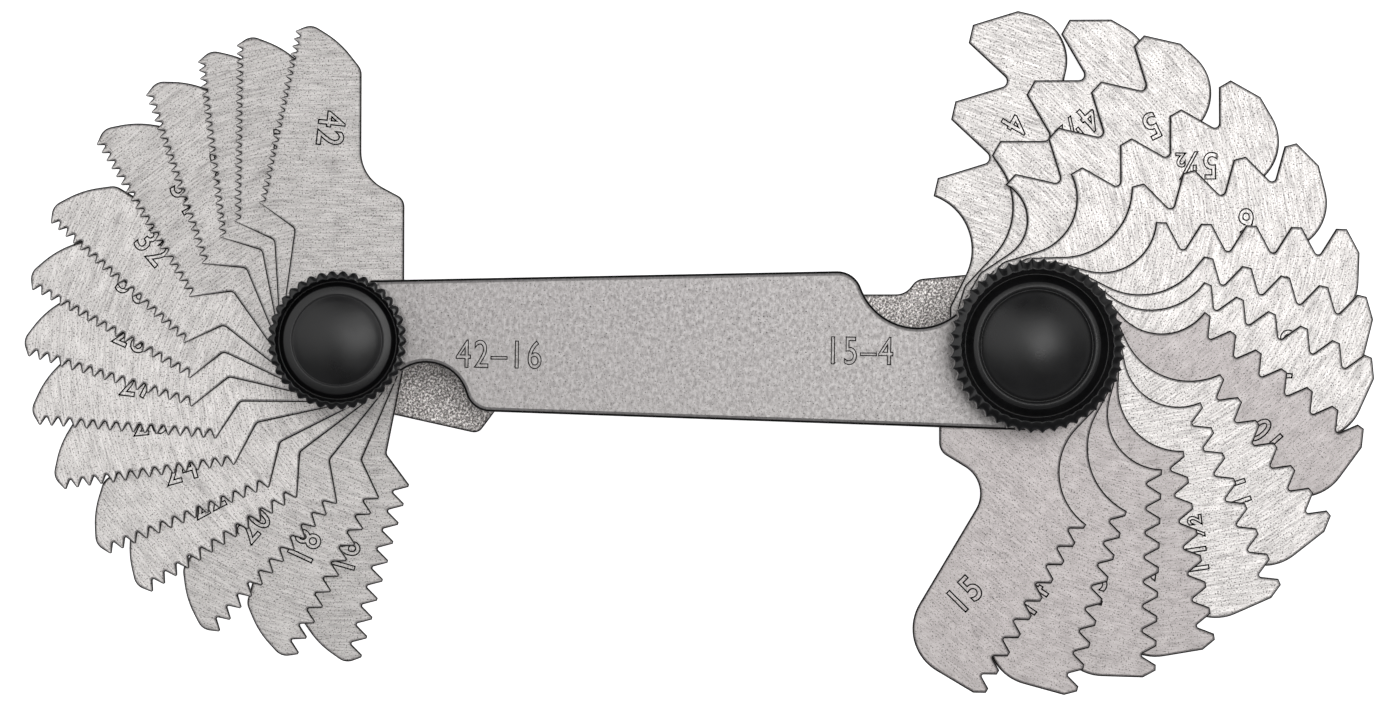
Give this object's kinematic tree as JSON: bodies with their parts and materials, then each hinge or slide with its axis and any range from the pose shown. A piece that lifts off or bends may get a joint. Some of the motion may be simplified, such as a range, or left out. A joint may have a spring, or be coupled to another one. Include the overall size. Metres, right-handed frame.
{
  "type": "thread pitch gauge",
  "caption": "Two fans of toothed steel leaves that fold into a slim tapered case, each clamped by a knurled thumb nut; the teeth are matched to a screw thread to read its pitch.",
  "frame": {"origin": "on the back plate's outer face, midway between the two studs", "axes": "+Z out of the front plate towards the thumb nuts, +X from the fine leaves' stud to the coarse leaves' stud"},
  "size_m": [0.1083, 0.0549, 0.0153],
  "materials": {
    "satin_steel_plate": "satin",
    "spring_steel_leaf": "fine ground",
    "turned_steel": "turned",
    "washer_steel": "stamped",
    "insert_brass": "turned",
    "black_moulding": "satin"
  },
  "bodies": {
    "case": {"back_plate": "satin_steel_plate", "front_plate": "satin_steel_plate", "left_stud": "turned_steel", "right_stud": "turned_steel"},
    "leaf_42": {"leaf_42": "spring_steel_leaf"},
    "leaf_40": {"leaf_40": "spring_steel_leaf"},
    "leaf_38": {"leaf_38": "spring_steel_leaf"},
    "leaf_36": {"leaf_36": "spring_steel_leaf"},
    "leaf_34": {"leaf_34": "spring_steel_leaf"},
    "leaf_32": {"leaf_32": "spring_steel_leaf"},
    "leaf_30": {"leaf_30": "spring_steel_leaf"},
    "leaf_28": {"leaf_28": "spring_steel_leaf"},
    "leaf_27": {"leaf_27": "spring_steel_leaf"},
    "leaf_26": {"leaf_26": "spring_steel_leaf"},
    "leaf_24": {"leaf_24": "spring_steel_leaf"},
    "leaf_22": {"leaf_22": "spring_steel_leaf"},
    "leaf_20": {"leaf_20": "spring_steel_leaf"},
    "leaf_18": {"leaf_18": "spring_steel_leaf"},
    "leaf_16": {"leaf_16": "spring_steel_leaf"},
    "left_folded_leaf": {"left_folded_leaf": "spring_steel_leaf"},
    "leaf_15": {"leaf_15": "spring_steel_leaf"},
    "leaf_14": {"leaf_14": "spring_steel_leaf"},
    "leaf_13": {"leaf_13": "spring_steel_leaf"},
    "leaf_12": {"leaf_12": "spring_steel_leaf"},
    "leaf_11_half": {"leaf_11_half": "spring_steel_leaf"},
    "leaf_11": {"leaf_11": "spring_steel_leaf"},
    "leaf_10": {"leaf_10": "spring_steel_leaf"},
    "leaf_9": {"leaf_9": "spring_steel_leaf"},
    "leaf_8": {"leaf_8": "spring_steel_leaf"},
    "leaf_7": {"leaf_7": "spring_steel_leaf"},
    "leaf_6": {"leaf_6": "spring_steel_leaf"},
    "leaf_5_half": {"leaf_5_half": "spring_steel_leaf"},
    "leaf_5": {"leaf_5": "spring_steel_leaf"},
    "leaf_4_half": {"leaf_4_half": "spring_steel_leaf"},
    "leaf_4": {"leaf_4": "spring_steel_leaf"},
    "right_folded_leaf": {"right_folded_leaf": "spring_steel_leaf"},
    "left_washer": {"left_washer": "washer_steel"},
    "left_nut": {"left_insert": "insert_brass", "left_thumb_nut": "black_moulding"},
    "right_washer": {"right_washer": "washer_steel"},
    "right_nut": {"right_insert": "insert_brass", "right_thumb_nut": "black_moulding"}
  },
  "joints": [
    {"name": "leaf_42_hinge", "type": "hinge", "parent": "case", "child": "leaf_42", "pos_m": [-0.02755, 0, 0.005], "axis": [0, 0, 1], "range_deg": [-98, 176.5]},
    {"name": "leaf_40_hinge", "type": "hinge", "parent": "case", "child": "leaf_40", "pos_m": [-0.02755, 0, 0.005], "axis": [0, 0, 1], "range_deg": [-109.2, 165.3]},
    {"name": "leaf_38_hinge", "type": "hinge", "parent": "case", "child": "leaf_38", "pos_m": [-0.02755, 0, 0.005], "axis": [0, 0, 1], "range_deg": [-117, 157.5]},
    {"name": "leaf_36_hinge", "type": "hinge", "parent": "case", "child": "leaf_36", "pos_m": [-0.02755, 0, 0.005], "axis": [0, 0, 1], "range_deg": [-128.4, 146.1]},
    {"name": "leaf_34_hinge", "type": "hinge", "parent": "case", "child": "leaf_34", "pos_m": [-0.02755, 0, 0.005], "axis": [0, 0, 1], "range_deg": [-141.2, 133.3]},
    {"name": "leaf_32_hinge", "type": "hinge", "parent": "case", "child": "leaf_32", "pos_m": [-0.02755, 0, 0.005], "axis": [0, 0, 1], "range_deg": [-157.9, 116.6]},
    {"name": "leaf_30_hinge", "type": "hinge", "parent": "case", "child": "leaf_30", "pos_m": [-0.02755, 0, 0.005], "axis": [0, 0, 1], "range_deg": [-170.6, 103.9]},
    {"name": "leaf_28_hinge", "type": "hinge", "parent": "case", "child": "leaf_28", "pos_m": [-0.02755, 0, 0.005], "axis": [0, 0, 1], "range_deg": [-182.8, 91.7]},
    {"name": "leaf_27_hinge", "type": "hinge", "parent": "case", "child": "leaf_27", "pos_m": [-0.02755, 0, 0.005], "axis": [0, 0, 1], "range_deg": [-195.5, 79]},
    {"name": "leaf_26_hinge", "type": "hinge", "parent": "case", "child": "leaf_26", "pos_m": [-0.02755, 0, 0.005], "axis": [0, 0, 1], "range_deg": [-208.2, 66.3]},
    {"name": "leaf_24_hinge", "type": "hinge", "parent": "case", "child": "leaf_24", "pos_m": [-0.02755, 0, 0.005], "axis": [0, 0, 1], "range_deg": [-222.6, 51.9]},
    {"name": "leaf_22_hinge", "type": "hinge", "parent": "case", "child": "leaf_22", "pos_m": [-0.02755, 0, 0.005], "axis": [0, 0, 1], "range_deg": [-233, 41.5]},
    {"name": "leaf_20_hinge", "type": "hinge", "parent": "case", "child": "leaf_20", "pos_m": [-0.02755, 0, 0.005], "axis": [0, 0, 1], "range_deg": [-247.4, 27.1]},
    {"name": "leaf_18_hinge", "type": "hinge", "parent": "case", "child": "leaf_18", "pos_m": [-0.02755, 0, 0.005], "axis": [0, 0, 1], "range_deg": [-262.6, 11.9]},
    {"name": "leaf_16_hinge", "type": "hinge", "parent": "case", "child": "leaf_16", "pos_m": [-0.02755, 0, 0.005], "axis": [0, 0, 1], "range_deg": [-274.5, 0]},
    {"name": "left_folded_leaf_hinge", "type": "hinge", "parent": "case", "child": "left_folded_leaf", "pos_m": [-0.02755, 0, 0.005], "axis": [0, 0, 1], "range_deg": [0, 278.9]},
    {"name": "leaf_15_hinge", "type": "hinge", "parent": "case", "child": "leaf_15", "pos_m": [0.02755, 0, 0.005], "axis": [0, 0, 1], "range_deg": [-81, 197.9]},
    {"name": "leaf_14_hinge", "type": "hinge", "parent": "case", "child": "leaf_14", "pos_m": [0.02755, 0, 0.005], "axis": [0, 0, 1], "range_deg": [-96.4, 182.5]},
    {"name": "leaf_13_hinge", "type": "hinge", "parent": "case", "child": "leaf_13", "pos_m": [0.02755, 0, 0.005], "axis": [0, 0, 1], "range_deg": [-110, 168.9]},
    {"name": "leaf_12_hinge", "type": "hinge", "parent": "case", "child": "leaf_12", "pos_m": [0.02755, 0, 0.005], "axis": [0, 0, 1], "range_deg": [-121.2, 157.7]},
    {"name": "leaf_11_half_hinge", "type": "hinge", "parent": "case", "child": "leaf_11_half", "pos_m": [0.02755, 0, 0.005], "axis": [0, 0, 1], "range_deg": [-135.6, 143.3]},
    {"name": "leaf_11_hinge", "type": "hinge", "parent": "case", "child": "leaf_11", "pos_m": [0.02755, 0, 0.005], "axis": [0, 0, 1], "range_deg": [-149.9, 129]},
    {"name": "leaf_10_hinge", "type": "hinge", "parent": "case", "child": "leaf_10", "pos_m": [0.02755, 0, 0.005], "axis": [0, 0, 1], "range_deg": [-165.5, 113.4]},
    {"name": "leaf_9_hinge", "type": "hinge", "parent": "case", "child": "leaf_9", "pos_m": [0.02755, 0, 0.005], "axis": [0, 0, 1], "range_deg": [-177.5, 101.4]},
    {"name": "leaf_8_hinge", "type": "hinge", "parent": "case", "child": "leaf_8", "pos_m": [0.02755, 0, 0.005], "axis": [0, 0, 1], "range_deg": [-187.8, 91.1]},
    {"name": "leaf_7_hinge", "type": "hinge", "parent": "case", "child": "leaf_7", "pos_m": [0.02755, 0, 0.005], "axis": [0, 0, 1], "range_deg": [-199.7, 79.2]},
    {"name": "leaf_6_hinge", "type": "hinge", "parent": "case", "child": "leaf_6", "pos_m": [0.02755, 0, 0.005], "axis": [0, 0, 1], "range_deg": [-216.6, 62.3]},
    {"name": "leaf_5_half_hinge", "type": "hinge", "parent": "case", "child": "leaf_5_half", "pos_m": [0.02755, 0, 0.005], "axis": [0, 0, 1], "range_deg": [-232.2, 46.7]},
    {"name": "leaf_5_hinge", "type": "hinge", "parent": "case", "child": "leaf_5", "pos_m": [0.02755, 0, 0.005], "axis": [0, 0, 1], "range_deg": [-249, 29.9]},
    {"name": "leaf_4_half_hinge", "type": "hinge", "parent": "case", "child": "leaf_4_half", "pos_m": [0.02755, 0, 0.005], "axis": [0, 0, 1], "range_deg": [-262.1, 16.8]},
    {"name": "leaf_4_hinge", "type": "hinge", "parent": "case", "child": "leaf_4", "pos_m": [0.02755, 0, 0.005], "axis": [0, 0, 1], "range_deg": [-278.9, 0]},
    {"name": "right_folded_leaf_hinge", "type": "hinge", "parent": "case", "child": "right_folded_leaf", "pos_m": [0.02755, 0, 0.005], "axis": [0, 0, 1], "range_deg": [0, 282.8]},
    {"name": "left_nut_lift", "type": "slide", "parent": "case", "child": "left_washer", "axis": [0, 0, 1], "range_m": [0, 0.0007]},
    {"name": "left_nut_turn", "type": "hinge", "parent": "left_washer", "child": "left_nut", "pos_m": [-0.02755, 0, 0.0107], "axis": [0, 0, 1], "range_deg": [0, 360]},
    {"name": "right_nut_lift", "type": "slide", "parent": "case", "child": "right_washer", "axis": [0, 0, 1], "range_m": [0, 0.0007]},
    {"name": "right_nut_turn", "type": "hinge", "parent": "right_washer", "child": "right_nut", "pos_m": [0.02755, 0, 0.0107], "axis": [0, 0, 1], "range_deg": [0, 360]}
  ],
  "couplings": [
    {"joint": "left_nut_turn", "follows": "left_nut_lift", "rad_per_m": 8970},
    {"joint": "right_nut_turn", "follows": "right_nut_lift", "rad_per_m": 8970}
  ]
}
